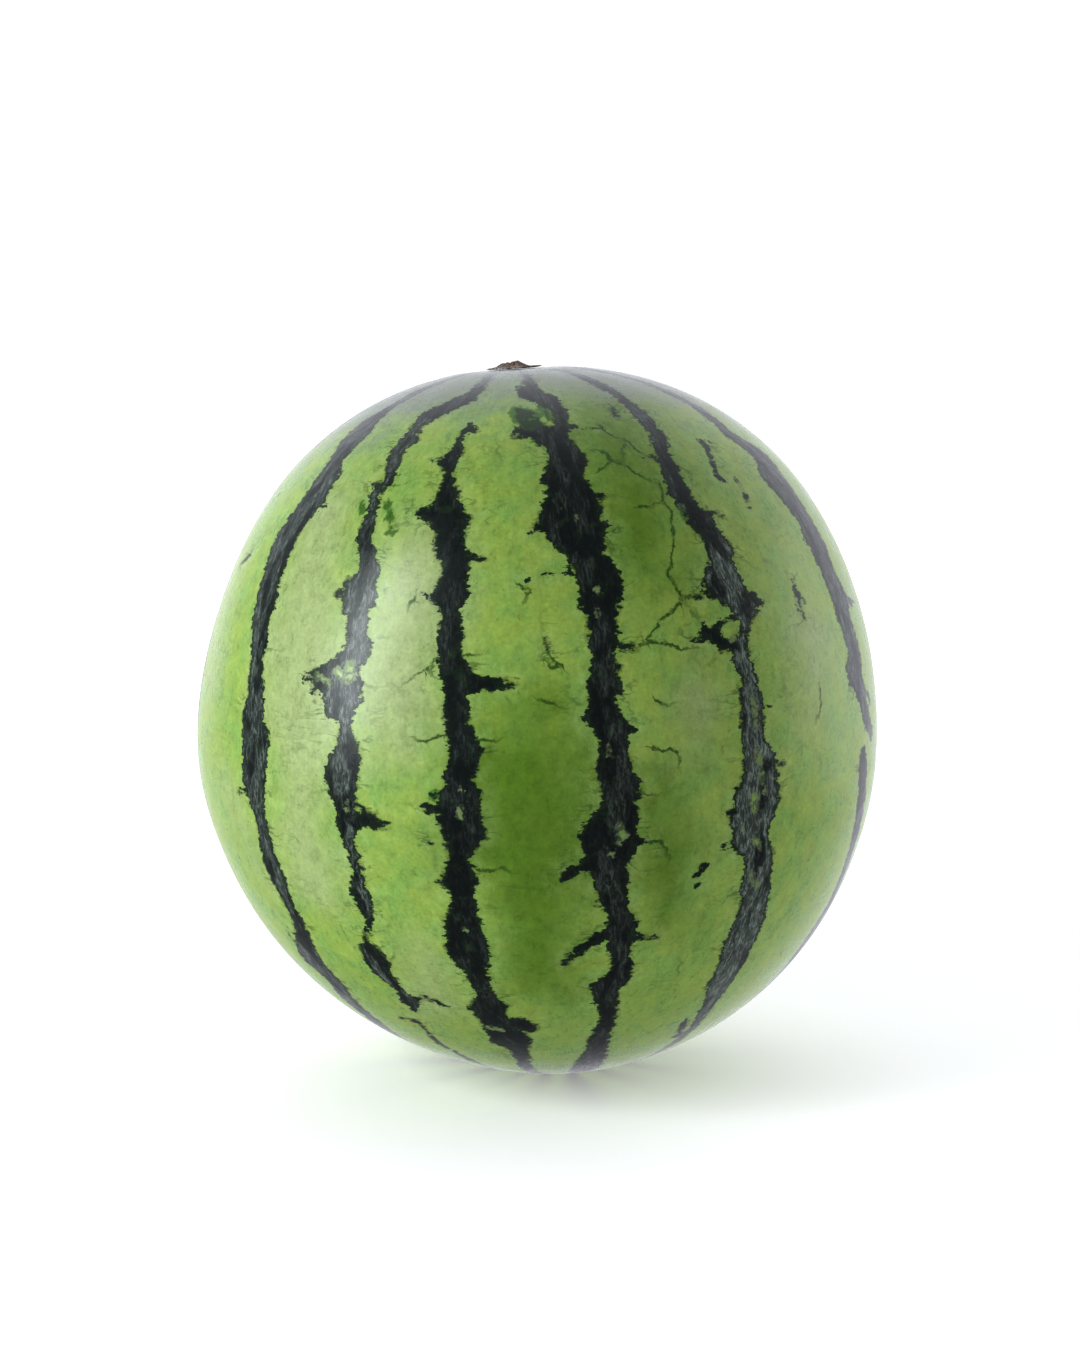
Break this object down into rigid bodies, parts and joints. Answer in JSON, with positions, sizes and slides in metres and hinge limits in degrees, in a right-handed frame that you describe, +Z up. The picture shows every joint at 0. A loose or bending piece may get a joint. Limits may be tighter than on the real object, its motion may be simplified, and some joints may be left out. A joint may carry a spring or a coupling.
{
  "type": "watermelon",
  "caption": "Whole round striped watermelon standing upright on a small flat spot at its blossom end, with a low dry stalk stub in the hollow at the top.",
  "frame": {"origin": "on the ground, under the middle of the fruit's box", "axes": "+Z up towards the stem end; -Y is the side that the picture shows; +X is to the right in the picture"},
  "size_m": [0.2544, 0.2492, 0.2651],
  "materials": {
    "rind": "waxy light green skin with ragged near-black green stripes",
    "stalk": "dry brown cork, matt"
  },
  "bodies": {
    "root": {"fruit": "rind", "stem": "stalk"}
  },
  "joints": []
}
